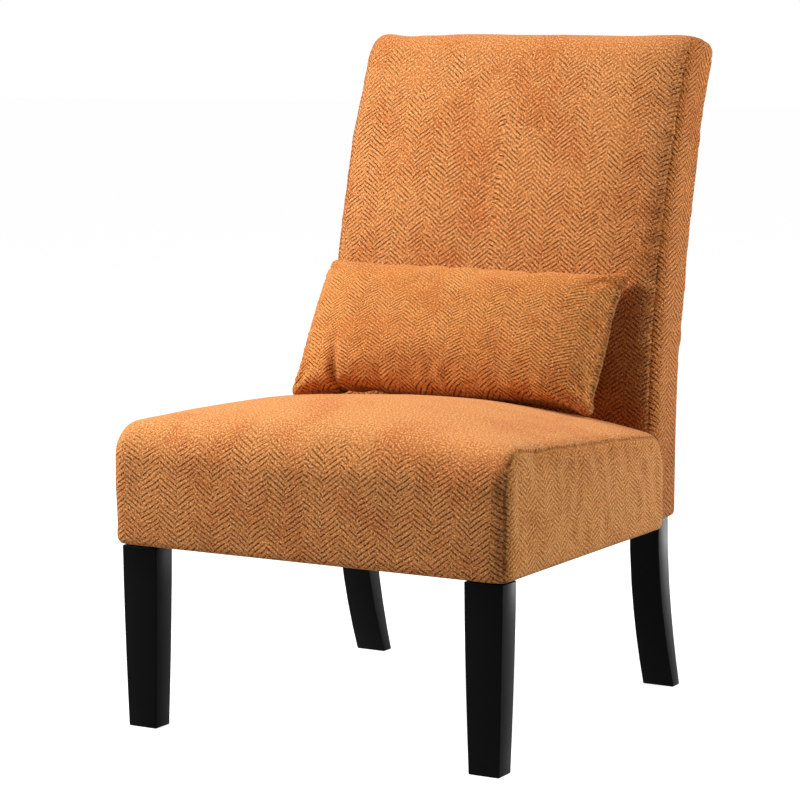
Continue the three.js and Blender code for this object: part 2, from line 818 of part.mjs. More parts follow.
// Pillow: a lens-like section at each place along its length, drawn in between the corners
function pillowRing(share, inset) {
  const halfLength = pillowLength / 2 - pillowRimSlope * inset;
  const halfHeight = pillowHeight / 2 - pillowRimSlope * inset;
  const thickness = pillowThickness / 2 - inset;
  const rim = Math.max(pillowEdgeThickness / 2 - inset, fit / 2);
  const swell = (1 - Math.abs(share) ** pillowLengthwisePower) ** pillowSwellPower;
  const upper = [];
  const lower = [];
  const heightShares = [-1, -0.93, -0.8, -0.58, -0.3, 0, 0.3, 0.58, 0.8, 0.93, 1];
  for (const height of heightShares) {
    const upright = (1 - Math.abs(height) ** pillowUprightPower) ** pillowSwellPower;
    const bulge = thickness * swell * upright + rim;
    const x = share * (halfLength - pillowShortDrawIn * (1 - height ** 4));
    const z = height * (halfHeight - pillowLongDrawIn * (1 - share ** 4));
    upper.push(point(x, -bulge, z));
    lower.push(point(x, bulge, z));
  }
  return [...upper, ...lower.reverse()];
}

function pillowBody(inset) {
  const shares = [0, 0.25, 0.5, 0.7, 0.84, 0.93, 0.98, 1];
  const all = [...shares.slice(1).reverse().map((share) => -share), ...shares];
  return closedLoft(all.map((share) => pillowRing(share, inset)), ['y', 'z']);
}

// Where the pillow rests: lowered on to the seat, then pushed back until it meets the back
function backFaceAt(z) {
  const depth = backFront(z);
  const height = z - depth * Math.sin(spineLean(z));
  return fromSpine(0, height, -depth).y;
}

function pillowPlace(geometry) {
  const places = geometry.attributes.position;
  const vertex = new THREE.Vector3();
  let y = seatDepth - pillowHeight / 2;
  let z = seatUnderside + seatSideHeight + pillowHeight;
  const rounds = 12;
  for (let round = 0; round < rounds; round += 1) {
    let lift = -Infinity;
    let back = Infinity;
    for (let i = 0; i < places.count; i += 1) {
      vertex.fromBufferAttribute(places, i);
      const seatHere = seatTop(vertex.x + pillowOffset, Math.min(vertex.y + y, seatDepth));
      lift = Math.max(lift, seatHere + pillowRestGap - vertex.z);
      back = Math.min(back, backFaceAt(vertex.z + z) - pillowRestGap - vertex.y);
    }
    z = lift;
    y = back;
  }
  return point(pillowOffset, y, z);
}

function makePillow() {
  const lean = THREE.MathUtils.degToRad(-pillowLeanDegrees);
  const outer = pillowBody(0).rotateX(lean);
  const place = pillowPlace(outer);
  const reach = pillowLength;
  const half = (side) => solidOf(boxBetween(
    point(-reach, side > 0 ? seamGap / 2 : -reach, -reach),
    point(reach, side > 0 ? reach : -seamGap / 2, reach),
  ).rotateX(lean));
  const shell = solidOf(outer).subtract(solidOf(pillowBody(pillowCoverThickness).rotateX(lean)));
  for (const [name, side] of [['pillow_front_panel', -1], ['pillow_back_panel', 1]]) {
    const panel = piece(name, geometryOf(shell.intersect(half(side))), fabric(chenille));
    panel.position.copy(place);
  }
  const fill = pillowBody(pillowCoverThickness + pillowFillGap).rotateX(lean);
  piece('pillow_insert', fill, fabric(insertWhite)).position.copy(place);
}

makeFrontLegs();
makeRearPosts();
makeSeatFrame();
makeSeatWebbing();
makeSeatPadding();
makeSeatCover();
makeBackFrame();
makeBackBolts();
makeBackPadding();
makeBackCover();
makePillow();

// The origin is on the floor under the middle of the chair's bounding box
const extent = new THREE.Box3().setFromObject(chair, true);
const middle = extent.getCenter(new THREE.Vector3());
chair.position.set(-middle.x, -middle.y, -extent.min.z);

export default chair;
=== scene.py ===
# A slipper chair: a domed seat and a curved back in orange herringbone chenille, black wooden
# legs and a loose lumbar pillow. Metres, +Z up; the chair faces -Y.
import math

import bmesh
import bpy
import numpy as np
from mathutils import Matrix, Vector, noise
from mathutils.bvhtree import BVHTree


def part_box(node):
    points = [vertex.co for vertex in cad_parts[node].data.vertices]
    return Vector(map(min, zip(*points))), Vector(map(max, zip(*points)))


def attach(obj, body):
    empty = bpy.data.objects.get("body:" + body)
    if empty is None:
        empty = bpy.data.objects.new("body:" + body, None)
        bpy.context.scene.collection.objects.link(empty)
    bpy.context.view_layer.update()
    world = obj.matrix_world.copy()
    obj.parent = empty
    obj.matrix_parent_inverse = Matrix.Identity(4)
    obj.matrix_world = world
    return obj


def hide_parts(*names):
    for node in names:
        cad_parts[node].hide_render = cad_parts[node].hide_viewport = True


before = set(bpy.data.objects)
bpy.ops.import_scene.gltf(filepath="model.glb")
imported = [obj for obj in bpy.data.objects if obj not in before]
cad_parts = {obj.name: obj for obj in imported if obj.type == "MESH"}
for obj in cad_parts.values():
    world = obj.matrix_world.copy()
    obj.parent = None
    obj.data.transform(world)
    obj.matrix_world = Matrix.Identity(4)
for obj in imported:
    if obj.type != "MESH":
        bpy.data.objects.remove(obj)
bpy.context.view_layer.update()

# The studio. A pale floor under a white surround, a broad lamp on the left and one above it, one
# on the right, a small low one behind, and a long lens at the height of the chair's top.


def linear(hex_colour):
    """An sRGB hex colour as linear red, green, blue and alpha."""
    parts = [int(hex_colour[i:i + 2], 16) / 255 for i in (1, 3, 5)]
    return [p / 12.92 if p <= 0.04045 else ((p + 0.055) / 1.055) ** 2.4 for p in parts] + [1.0]


def add_node(tree, kind, settings=None, inputs=None):
    """A node with its settings, and with its inputs set to values or linked to other sockets. A
    node stands for its first output."""
    made = tree.nodes.new(kind)
    for name, value in (settings or {}).items():
        setattr(made, name, value)
    for key, value in (inputs or {}).items():
        if isinstance(value, bpy.types.Node):
            tree.links.new(value.outputs[0], made.inputs[key])
        elif isinstance(value, bpy.types.NodeSocket):
            tree.links.new(value, made.inputs[key])
        else:
            made.inputs[key].default_value = value
    return made


def new_material(name):
    """An empty material and its node tree."""
    made = bpy.data.materials.new(name)
    made.use_nodes = True
    made.node_tree.nodes.clear()
    return made, made.node_tree


def seen_by_lens(tree):
    """A node that gives 1 where the lens sees a surface, straight, mirrored or through glass."""
    ray = add_node(tree, "ShaderNodeLightPath")
    value = ray.outputs["Is Camera Ray"]
    for kind in ("Is Glossy Ray", "Is Transmission Ray"):
        value = add_node(tree, "ShaderNodeMath", {"operation": "MAXIMUM"},
                         {0: value, 1: ray.outputs[kind]})
    return value


def mesh_from(shape, name):
    """A mesh with the faces of a bmesh, which it frees."""
    made = bpy.data.meshes.new(name)
    shape.to_mesh(made)
    shape.free()
    return made


scene = bpy.context.scene
scene.view_settings.view_transform = "Standard"

surround = bpy.data.worlds.new("white surround")
scene.world = surround
surround.use_nodes = True
sky = surround.node_tree
sky.nodes.clear()
sky_light = 0.06
floor_light = 0.96
lamp_aim = 0.45
level = add_node(sky, "ShaderNodeMapRange", None,
                 {"Value": seen_by_lens(sky), "To Min": sky_light, "To Max": 1.0})
glow = add_node(sky, "ShaderNodeBackground", None,
                {"Color": linear("#ffffff"), "Strength": level})
add_node(sky, "ShaderNodeOutputWorld", None, {"Surface": glow})

floor_shape = bmesh.new()
bmesh.ops.create_grid(floor_shape, x_segments=1, y_segments=1, size=30)
floor_mesh = mesh_from(floor_shape, "floor")
floor = bpy.data.objects.new("floor", floor_mesh)
scene.collection.objects.link(floor)

# Painted floor: matt white, brought up to the surround's white where the lens sees it
floor_paint, paint = new_material("matt white floor paint")
floor_lift = add_node(paint, "ShaderNodeMath", {"operation": "MULTIPLY"},
                      {0: seen_by_lens(paint), 1: floor_light})
floor_matt = add_node(paint, "ShaderNodeBsdfDiffuse", None, {"Color": linear("#b8b8b8")})
floor_glow = add_node(paint, "ShaderNodeEmission", None,
                      {"Color": linear("#ffffff"), "Strength": floor_lift})
floor_sum = add_node(paint, "ShaderNodeAddShader", None, {0: floor_matt, 1: floor_glow})
add_node(paint, "ShaderNodeOutputMaterial", None, {"Surface": floor_sum})
floor_mesh.materials.append(floor_paint)


def soft_lamp(name, azimuth, elevation, distance, width, power):
    """A square lamp that looks at the chair's middle. Its azimuth is 0 in front of the chair."""
    data = bpy.data.lights.new(name, "AREA")
    data.shape = "SQUARE"
    data.size = width
    data.energy = power
    lamp = bpy.data.objects.new(name, data)
    turn, rise = math.radians(azimuth), math.radians(elevation)
    away = Vector((math.sin(turn) * math.cos(rise), -math.cos(turn) * math.cos(rise), math.sin(rise)))
    lamp.location = Vector((0, 0, lamp_aim)) + away * distance
    lamp.rotation_euler = (-away).to_track_quat("-Z", "Y").to_euler()
    scene.collection.objects.link(lamp)


soft_lamp("lamp on the left", azimuth=-54, elevation=32, distance=2.25, width=1.0, power=62)
soft_lamp("lamp overhead", azimuth=-72, elevation=62, distance=2.6, width=1.4, power=21)
soft_lamp("lamp on the right", azimuth=106, elevation=36, distance=2.3, width=1.2, power=38)
# This one reaches below the floor, which cuts off part of its light
soft_lamp("lamp behind on the right", azimuth=152, elevation=-13, distance=1.45, width=0.4, power=8)

lens = bpy.data.cameras.new("long lens")
lens.lens = 127.84
lens.sensor_width = 36
camera = bpy.data.objects.new("camera", lens)
camera.location = (1.8272, -3.2859, 0.8907)
camera.rotation_euler = (math.radians(82.685), 0, math.radians(29.748))
scene.collection.objects.link(camera)
scene.camera = camera

# Seat upholstery: foam over a sprung-web frame in a chenille cover of three panels. One panel
# runs from under the front edge over the top to the rear, and two close the sides; the seams
# stand 7 mm in from the sides. The cover is pulled tight and stapled under the rails.
seat_width = 0.570
seat_depth = 0.475
seat_side_height = 0.159
seat_rear_drop = 0.033
seat_crown = 0.040
seat_crown_share = 0.45
seat_rear_reach_share = 0.65
seat_front_roll = 0.044
seat_rear_roll = 0.040
seat_hem_roll = 0.009
seat_end_rolls = (0.020, 0.036, 0.009, 0.015)
seat_cell = 0.0072
seat_seam_inset = 0.007
seat_left_stretch = 1.021
seat_shoulder = 0.004
recess_half_width = 0.2525
recess_inset = 0.032
recess_depth = 0.004
stapled_strip = 0.006
seat_seam = seat_width / 2 - seat_seam_inset
seat_size = (seat_width, seat_depth, seat_side_height)
seat_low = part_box("seat_cover_main_panel")[0]
seat_front = seat_low.y
seat_bottom = seat_low.z


def new_piece(name, mesh, body):
    """A finished mesh as an object that rides on a body."""
    piece = bpy.data.objects.new(name, mesh)
    scene.collection.objects.link(piece)
    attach(piece, body)
    return piece


def points_of(mesh):
    """A mesh's points as rows of an array."""
    flat = np.empty(len(mesh.vertices) * 3)
    mesh.vertices.foreach_get("co", flat)
    return flat.reshape(-1, 3)


def set_points(mesh, points):
    """Gives a mesh new places for its points."""
    mesh.vertices.foreach_set("co", points.astype(np.float32).ravel())
    mesh.update()


def divided_cube(size, cell, axes):
    """A unit cube, divided along some axes so that its cells fit when it is scaled to size."""
    shape = bmesh.new()
    bmesh.ops.create_cube(shape, size=1)
    for axis in axes:
        run = [e for e in shape.edges if abs((e.verts[0].co - e.verts[1].co)[axis]) > 0.5]
        cuts = round(size[axis] / cell) - 1
        bmesh.ops.subdivide_edges(shape, edges=run, cuts=cuts, use_grid_fill=True)
    return shape


def stuffed_block(name, size, cell, corners, sides):
    """A block of foam with rounded edges, its front at y 0 and its foot at z 0. corners holds the
    radii of the long edges (front top, rear top, front foot, rear foot) and sides those of the
    two ends' edges (front, rear, foot, top)."""
    width, depth, height = size
    shape = divided_cube(size, cell, (0, 1, 2))
    bmesh.ops.translate(shape, vec=(0, 0.5, 0.5), verts=shape.verts)
    bmesh.ops.scale(shape, vec=size, verts=shape.verts)
    mesh = mesh_from(shape, name)
    x, y, z = points_of(mesh).T
    places = [(0, height), (depth, height), (0, 0), (depth, 0)]
    for (edge_y, edge_z), radius in zip(places, corners):
        p = 1 - np.abs(edge_y - y) / radius
        q = 1 - np.abs(edge_z - z) / radius
        near = (p > 0) & (q > 0)
        share = np.maximum(p, q) / np.maximum(np.hypot(p, q), 1e-9)
        inward_y, inward_z = np.sign(depth / 2 - edge_y), np.sign(height / 2 - edge_z)
        y = np.where(near, edge_y + inward_y * radius * (1 - p * share), y)
        z = np.where(near, edge_z + inward_z * radius * (1 - q * share), z)
    widest = max(sides)
    turn = np.clip(1 - (width / 2 - np.abs(x)) / widest, 0, 1) * math.pi / 2
    x = np.sign(x) * np.where(turn > 0, width / 2 - widest * (1 - np.sin(turn)), np.abs(x))
    past = np.abs(x) - width / 2
    front, rear, foot, top = [r - np.sqrt(r * r - np.clip(past + r, 0, r) ** 2) for r in sides]
    y = front + y * (depth - front - rear) / depth
    z = foot + z * (height - foot - top) / height
    set_points(mesh, np.column_stack([x, y, z]))
    return mesh


def baked(mesh, add_modifiers):
    """A copy of a mesh with modifiers applied to it."""
    holder = bpy.data.objects.new("work", mesh)
    scene.collection.objects.link(holder)
    add_modifiers(holder)
    made = bpy.data.meshes.new_from_object(
        holder.evaluated_get(bpy.context.evaluated_depsgraph_get()))
    bpy.data.objects.remove(holder)
    return made


def stuffing_pressure(mesh, held, pressure, most, frames, cut=None):
    """The stuffing presses the cover out, as cloth that is held where it is stapled. The result
    is scaled so that nothing moves by more than most. A cut is the shape of the cloth when flat."""
    rest = points_of(mesh)
    cover = bpy.data.objects.new("cover", mesh)
    scene.collection.objects.link(cover)
    stapled = cover.vertex_groups.new(name="stapled")
    stapled.add([int(i) for i in np.flatnonzero(held)], 1.0, "REPLACE")
    cloth = cover.modifiers.new("stuffing", "CLOTH")
    cloth.settings.vertex_group_mass = "stapled"
    cloth.settings.use_pressure = True
    cloth.settings.uniform_pressure_force = pressure
    cloth.settings.effector_weights.gravity = 0
    if cut is not None:
        cover.shape_key_add(name="as sewn")
        as_cut = cover.shape_key_add(name="as cut")
        as_cut.data.foreach_set("co", cut.astype(np.float32).ravel())
        cloth.settings.rest_shape_key = as_cut
        cloth.settings.bending_stiffness = 0.1
    cloth.point_cache.frame_start = 1
    cloth.point_cache.frame_end = frames
    for number in range(1, frames + 1):
        scene.frame_set(number)
    pressed = points_of(cover.evaluated_get(bpy.context.evaluated_depsgraph_get()).data)
    scene.frame_set(1)
    cover.shape_key_clear()
    bpy.data.objects.remove(cover)
    change = pressed - rest
    furthest = np.sqrt((change ** 2).sum(1)).max()
    set_points(mesh, rest + change * min(1.0, most / furthest))


def smooth_step(value, low, high):
    """0 below low, 1 above high and a smooth rise between them."""
    share = np.clip((value - low) / (high - low), 0, 1)
    return share * share * (3 - 2 * share)


def bell(value, middle, spread):
    """1 at the middle, falling away smoothly to either side."""
    return np.exp(-((value - middle) / spread) ** 2)


def fade(distance, reach):
    """1 at no distance, falling to about a third at the given reach."""
    return np.exp(-distance / reach)


def unevenness(points, size, depth):
    """A soft, even disturbance, in metres, with humps of the given size."""
    return np.array([noise.noise(Vector(p) / size) for p in points]) * depth


def doubled(holder):
    """Adds one level of subdivision."""
    finer = holder.modifiers.new("finer", "SUBSURF")
    finer.levels = finer.render_levels = 1


seat_shape = stuffed_block(
    "seat upholstery", seat_size, seat_cell,
    (seat_front_roll, seat_rear_roll, seat_hem_roll, seat_hem_roll), seat_end_rolls)
x, y, z = points_of(seat_shape).T
held = (z < stapled_strip) | (y > seat_depth - 2 * stapled_strip)
stuffing_pressure(seat_shape, held, pressure=4, most=0.0065, frames=20)
seat_shape = baked(seat_shape, doubled)


def wrapped(y, z, size, front_roll, rear_roll):
    """How far along its cloth a point lies on a panel that goes up the front, over the top and
    down the rear."""
    depth, height = size[1:]
    front_turn = np.arctan2(z - height + front_roll, np.maximum(front_roll - y, 1e-9))
    rear_turn = np.arctan2(np.maximum(y - depth + rear_roll, 0), np.maximum(z - height + rear_roll, 1e-9))
    top_start = height - front_roll + front_roll * math.pi / 2
    top_end = top_start + depth - rear_roll - front_roll
    return np.select(
        [(y < front_roll) & (z < height - front_roll), y < front_roll, y < depth - rear_roll,
         z > height - rear_roll],
        [z, height - front_roll + front_roll * front_turn, top_start + y - front_roll,
         top_end + rear_roll * rear_turn],
        top_end + rear_roll * math.pi / 2 + height - rear_roll - z)


def cloth_layer(mesh, straight, panels):
    """Gives each corner of each face its place in the cloth, in metres, and each face its
    material. panels holds, for each panel, which faces it has and the two places in its cloth."""
    corners = np.empty(len(mesh.loops), dtype=np.int32)
    mesh.loops.foreach_get("vertex_index", corners)
    counts = np.empty(len(mesh.polygons), dtype=np.int32)
    mesh.polygons.foreach_get("loop_total", counts)
    middles = np.add.reduceat(straight[corners], np.cumsum(counts) - counts) / counts[:, None]
    flat = np.zeros((len(corners), 2), dtype=np.float32)
    finish = np.zeros(len(counts), dtype=np.int32)
    for number, belongs, across, along in panels:
        mine = belongs(*middles.T)
        finish[mine] = number
        chosen = np.repeat(mine, counts)
        spots = straight[corners[chosen]].T
        flat[chosen] = np.column_stack([across(*spots), along(*spots)])
    mesh.uv_layers.new(name="cloth").data.foreach_set("uv", flat.ravel())
    mesh.polygons.foreach_set("material_index", finish)


def point_value(mesh, name, values):
    """Keeps one number for each point, for the material to read."""
    mesh.attributes.new(name, "FLOAT", "POINT").data.foreach_set("value", values.astype(np.float32))


def outward(mesh):
    """The direction that each point faces."""
    flat = np.empty(len(mesh.vertices) * 3)
    mesh.vertex_normals.foreach_get("vector", flat)
    return flat.reshape(-1, 3)


def cut_along(mesh, planes):
    """Cuts a mesh's faces along planes, each a place, a direction and distances to either side."""
    shape = bmesh.new()
    shape.from_mesh(mesh)
    for place, direction, distances in planes:
        for distance in distances:
            bmesh.ops.bisect_plane(
                shape,
                geom=shape.verts[:] + shape.edges[:] + shape.faces[:],
                plane_co=Vector(place) + Vector(direction) * distance,
                plane_no=direction)
    shape.to_mesh(mesh)
    shape.free()


def chenille(name, column, row, depth, upright_shade, tint):
    """Woven cotton and viscose chenille: V-shaped columns of twill whose lines are broken into
    dark stitches. Where the cloth faces up its lines fade: partly the pile brushed smooth by
    hands, partly painted light from above. column and row are the weave's spacing in metres, depth
    is how dark its lines are, and the next number how much darker upright cloth is made, as
    painted shade. tint holds the colours of the pile, the pile where it faces up, the stitches
    and the pile's deeper patches."""
    made, tree = new_material(name)
    place = add_node(tree, "ShaderNodeUVMap", {"uv_map": "cloth"})
    waver = add_node(tree, "ShaderNodeTexNoise", {"noise_dimensions": "2D"},
                     {"Vector": place, "Scale": 24, "Detail": 2})
    middle = add_node(tree, "ShaderNodeVectorMath", {"operation": "SUBTRACT"},
                      {0: waver.outputs["Color"], 1: (0.5, 0.5, 0.5)})
    pulled = add_node(tree, "ShaderNodeVectorMath", {"operation": "MULTIPLY_ADD"},
                      {0: middle, 1: (0.007, 0.005, 0), 2: place})
    split = add_node(tree, "ShaderNodeSeparateXYZ", None, {0: pulled})
    # Columns 44 to 54 mm wide from V to V, with lines 6 to 7 mm apart up the cloth. Each strip
    # is woven half a line higher than its neighbour, so the lines don't quite meet
    half = add_node(tree, "ShaderNodeMath", {"operation": "PINGPONG"},
                    {0: split.outputs["X"], 1: column / 2})
    strip = add_node(tree, "ShaderNodeMath", {"operation": "DIVIDE"},
                     {0: split.outputs["X"], 1: column / 2})
    strip_number = add_node(tree, "ShaderNodeMath", {"operation": "FLOOR"}, {0: strip})
    climb = add_node(tree, "ShaderNodeMath", {"operation": "MULTIPLY_ADD"},
                     {0: half, 1: 0.68, 2: split.outputs["Y"]})
    height = add_node(tree, "ShaderNodeMath", {"operation": "DIVIDE"}, {0: climb, 1: row})
    line_place = add_node(tree, "ShaderNodeMath", {"operation": "MULTIPLY_ADD"},
                          {0: strip_number, 1: 0.5, 2: height})
    line_number = add_node(tree, "ShaderNodeMath", {"operation": "FLOOR"}, {0: line_place})
    line_share = add_node(tree, "ShaderNodeMath", {"operation": "PINGPONG"}, {0: line_place, 1: 0.5})
    stitch = add_node(tree, "ShaderNodeMath", {"operation": "DIVIDE"}, {0: half, 1: 0.0036})
    brick = add_node(tree, "ShaderNodeMath", {"operation": "MULTIPLY_ADD"},
                     {0: line_number, 1: 0.37, 2: stitch})
    stitch_number = add_node(tree, "ShaderNodeMath", {"operation": "FLOOR"}, {0: brick})
    stitch_share = add_node(tree, "ShaderNodeMath", {"operation": "PINGPONG"}, {0: brick, 1: 0.5})
    key = add_node(tree, "ShaderNodeCombineXYZ", None,
                   {0: line_number, 1: stitch_number, 2: strip_number})
    chance = add_node(tree, "ShaderNodeTexWhiteNoise", {"noise_dimensions": "3D"}, {"Vector": key})
    gate = add_node(tree, "ShaderNodeMapRange", None,
                    {"Value": chance.outputs["Value"], "From Min": 0.05, "From Max": 0.6, "To Min": 0.3})
    line = add_node(tree, "ShaderNodeMapRange", {"interpolation_type": "SMOOTHSTEP"},
                    {"Value": line_share, "From Min": 0.24, "From Max": 0.45})
    dash = add_node(tree, "ShaderNodeMapRange", {"interpolation_type": "SMOOTHSTEP"},
                    {"Value": stitch_share, "From Max": 0.2, "To Min": 0.3})
    mark = add_node(tree, "ShaderNodeMath", {"operation": "MULTIPLY"}, {0: line, 1: dash})
    worked = add_node(tree, "ShaderNodeMath", {"operation": "MULTIPLY"}, {0: mark, 1: gate})
    # The lines fade in patches about 60 mm wide, with soft wavy edges, and more where the cloth faces up:
    # partly brushed pile, partly painted light from above
    upward = add_node(tree, "ShaderNodeAttribute", {"attribute_name": "upward"})
    patch = add_node(tree, "ShaderNodeTexNoise", {"noise_dimensions": "2D"},
                     {"Vector": place, "Scale": 17, "Detail": 5})
    patchy = add_node(tree, "ShaderNodeMath", {"operation": "MULTIPLY_ADD"},
                      {0: patch.outputs["Fac"], 1: 0.95, 2: upward.outputs["Fac"]})
    smooth = add_node(tree, "ShaderNodeMapRange", {"interpolation_type": "SMOOTHSTEP"},
                      {"Value": patchy, "From Min": 0.68, "From Max": 1.3})
    woven = add_node(tree, "ShaderNodeMapRange", None,
                     {"Value": smooth, "To Min": depth, "To Max": depth * 0.1})
    darkness = add_node(tree, "ShaderNodeMath", {"operation": "MULTIPLY"}, {0: worked, 1: woven})
    pile = add_node(tree, "ShaderNodeMix", {"data_type": "RGBA"},
                    {0: smooth, 6: linear(tint[0]), 7: linear(tint[1])})
    # Here and there the pile lies over and shows a deeper orange
    shading = add_node(tree, "ShaderNodeTexNoise", {"noise_dimensions": "2D"},
                       {"Vector": place, "Scale": 11, "Detail": 6, "Roughness": 0.62})
    laid_over = add_node(tree, "ShaderNodeMapRange", {"interpolation_type": "SMOOTHSTEP"},
                         {"Value": shading.outputs["Fac"], "From Min": 0.43, "From Max": 0.68,
                          "To Max": 0.58})
    mottled = add_node(tree, "ShaderNodeMix", {"data_type": "RGBA"},
                       {0: laid_over, 6: pile.outputs[2], 7: linear(tint[3])})
    # Tufts and pale fibre ends, drawn 2 mm long so that they show
    tufts = add_node(tree, "ShaderNodeTexNoise", {"noise_dimensions": "2D"},
                     {"Vector": place, "Scale": 410, "Detail": 2, "Roughness": 0.85})
    ends = add_node(tree, "ShaderNodeMapRange", {"interpolation_type": "SMOOTHSTEP"},
                    {"Value": tufts.outputs["Fac"], "From Min": 0.5, "From Max": 0.72, "To Max": 0.6})
    flecked = add_node(tree, "ShaderNodeMix", {"data_type": "RGBA"},
                       {0: ends, 6: mottled.outputs[2], 7: linear("#f5c48d")})
    stitched = add_node(tree, "ShaderNodeMix", {"data_type": "RGBA"},
                        {0: darkness, 6: flecked.outputs[2], 7: linear(tint[2])})
    light = add_node(tree, "ShaderNodeMapRange", None,
                     {"Value": tufts.outputs["Fac"], "From Min": 0.25, "From Max": 0.75, "To Min": 0.4,
                      "To Max": 1.46})
    # Upright faces are made darker than those that face up: painted shade
    upright_darkening = add_node(tree, "ShaderNodeMapRange", None,
                   {"Value": upward.outputs["Fac"], "From Max": 0.2, "To Min": upright_shade})
    shade = add_node(tree, "ShaderNodeMath", {"operation": "MULTIPLY"}, {0: light, 1: upright_darkening})
    toned = add_node(tree, "ShaderNodeVectorMath", {"operation": "SCALE"},
                     {0: stitched.outputs[2], "Scale": shade})
    # This darkens the cloth: a seam's dip is dark, and there is painted shade beside the seams and, on
    # the pillow, where it rests, in its crease and between its gathers
    seam_and_shade = add_node(tree, "ShaderNodeAttribute", {"attribute_name": "seam_and_shade"})
    seam_and_shade_share = add_node(tree, "ShaderNodeMath", {"operation": "MULTIPLY"}, {0: seam_and_shade.outputs["Fac"], 1: 0.6})
    colour = add_node(tree, "ShaderNodeMix", {"data_type": "RGBA"},
                      {0: seam_and_shade_share, 6: toned, 7: linear("#3c1906")})
    raised = add_node(tree, "ShaderNodeMath", {"operation": "MULTIPLY_ADD"},
                      {0: tufts.outputs["Fac"], 1: 0.9, 2: 0.3})
    relief = add_node(tree, "ShaderNodeMath", {"operation": "SUBTRACT"}, {0: raised, 1: darkness})
    bump = add_node(tree, "ShaderNodeBump", None,
                    {"Height": relief, "Strength": 0.55, "Distance": 0.0015})
    surface = add_node(
        tree, "ShaderNodeBsdfPrincipled", None,
        {"Base Color": colour.outputs[2], "Roughness": 0.92, "Specular IOR Level": 0.15,
         "Sheen Weight": 0.22, "Sheen Roughness": 0.45, "Sheen Tint": linear("#ffcf9a"), "Normal": bump})
    add_node(tree, "ShaderNodeOutputMaterial", None, {"Surface": surface})
    return made


front_column = 0.0525
seat_cloth = chenille(
    "herringbone chenille, seat", column=front_column, row=0.0069, depth=0.95, upright_shade=0.86,
    tint=("#dd8b48", "#d98a49", "#3d1d0a", "#c8692a"))
# The seat's sides take a lighter tint of the same chenille: painted light
side_cloth = chenille(
    "herringbone chenille, sides of the seat", column=0.044, row=0.0066, depth=0.8, upright_shade=1.0,
    tint=("#e8994e", "#e09046", "#55290e", "#d07a30"))

# Each seam is a groove, with cuts beside it so that it has points to follow
groove_width = 0.0013
groove_depth = 0.0016
seams_at = [-0.0042, -0.0024, -0.0011, 0, 0.0011, 0.0024]
cut_along(seat_shape, [((side * seat_seam, 0, 0), (side, 0, 0), seams_at) for side in (-1, 1)])
straight = points_of(seat_shape)
x, y, z = straight.T
from_seam = np.abs(np.abs(x) - seat_seam)
seam_dip = bell(from_seam, 0, groove_width)
cloth_layer(seat_shape, straight, [
    (0, lambda x, y, z: np.abs(x) <= seat_seam, lambda x, y, z: x,
     lambda x, y, z: wrapped(y, z, seat_size, seat_front_roll, seat_rear_roll)),
    (1, lambda x, y, z: np.abs(x) > seat_seam, lambda x, y, z: y + 0.01, lambda x, y, z: z)])
# Painted shade darkens the cloth beside a seam, most on the side panels and at their fronts
broken = np.clip(0.75 + unevenness(straight, size=0.006, depth=1.1), 0.15, 1)
at_side = np.abs(x) > seat_seam
drawn = np.where(at_side, 0.34, 0.14) * fade(from_seam, reach=0.014) * (1 - seam_dip)
drawn += np.where(at_side, 0.3, 0) * bell(y, middle=0, spread=0.017)
# Pulls run in from the seams, less so on the left
pulls = unevenness(straight * [0.3, 1, 0.5], size=0.02, depth=0.0036) * fade(from_seam, reach=0.02)
pulls = np.where(x < 0, 0.4 * pulls, pulls)
settled = unevenness(straight, size=0.11, depth=0.0022)
seat_shape.update()
facing = outward(seat_shape)
above_hem = smooth_step(z, 0.01, 0.03)
straight = straight + facing * ((settled + pulls) * above_hem - groove_depth * seam_dip)[:, None]
x, y, z = straight.T
share = np.clip(y / seat_depth, 0, 1)
reach = np.where(share < seat_crown_share, seat_crown_share, seat_rear_reach_share)
dome = 1 - np.minimum(1, np.abs(share - seat_crown_share) / reach) ** 3
dome = dome * (1 - np.minimum(1, np.abs(x) * 2 / seat_width) ** 2)
rise = np.clip(z / seat_side_height, 0, 1)
# The dust cover lies in a shallow recess underneath
recess = smooth_step(recess_half_width - np.abs(x), 0, 0.003)
recess = recess * smooth_step(y, recess_inset, recess_inset + 0.004)
recess = recess * smooth_step(seat_depth - recess_inset - y, 0, 0.004) * (z < 0.002)
# The left side is stretched wider, the right side is fuller, and the top has a hollow
shoulder = seat_shoulder * bell(y, middle=0.02, spread=0.05) * bell(z, middle=0.13, spread=0.03)
x_there = np.where(x < 0, seat_left_stretch * x - shoulder * smooth_step(-x, 0.22, 0.27), x)
y_there = seat_front + y
z_there = seat_bottom + z * (1 - seat_rear_drop * share / seat_side_height)
fuller = 0.0045 * smooth_step(x, 0.16, 0.27) * (1 - smooth_step(share, 0.5, 0.95))
hollow = 0.0038 * bell(x, middle=-0.07, spread=0.1) * bell(share, middle=0.68, spread=0.26)
z_there = np.maximum(z_there + (seat_crown * dome + fuller - hollow) * rise, seat_bottom)
z_there = z_there + recess_depth * recess
set_points(seat_shape, np.column_stack([x_there, y_there, z_there]))
seat_shape.shade_smooth()
point_value(seat_shape, "seam_and_shade", seam_dip * broken + drawn)
point_value(seat_shape, "upward", np.clip(outward(seat_shape)[:, 2], 0, 1))
seat_shape.materials.append(seat_cloth)
seat_shape.materials.append(side_cloth)
seat = new_piece("seat_upholstery", seat_shape, "chair")
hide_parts("seat_cover_main_panel", "seat_cover_side_panel_left", "seat_cover_side_panel_right",
            "seat_foam")

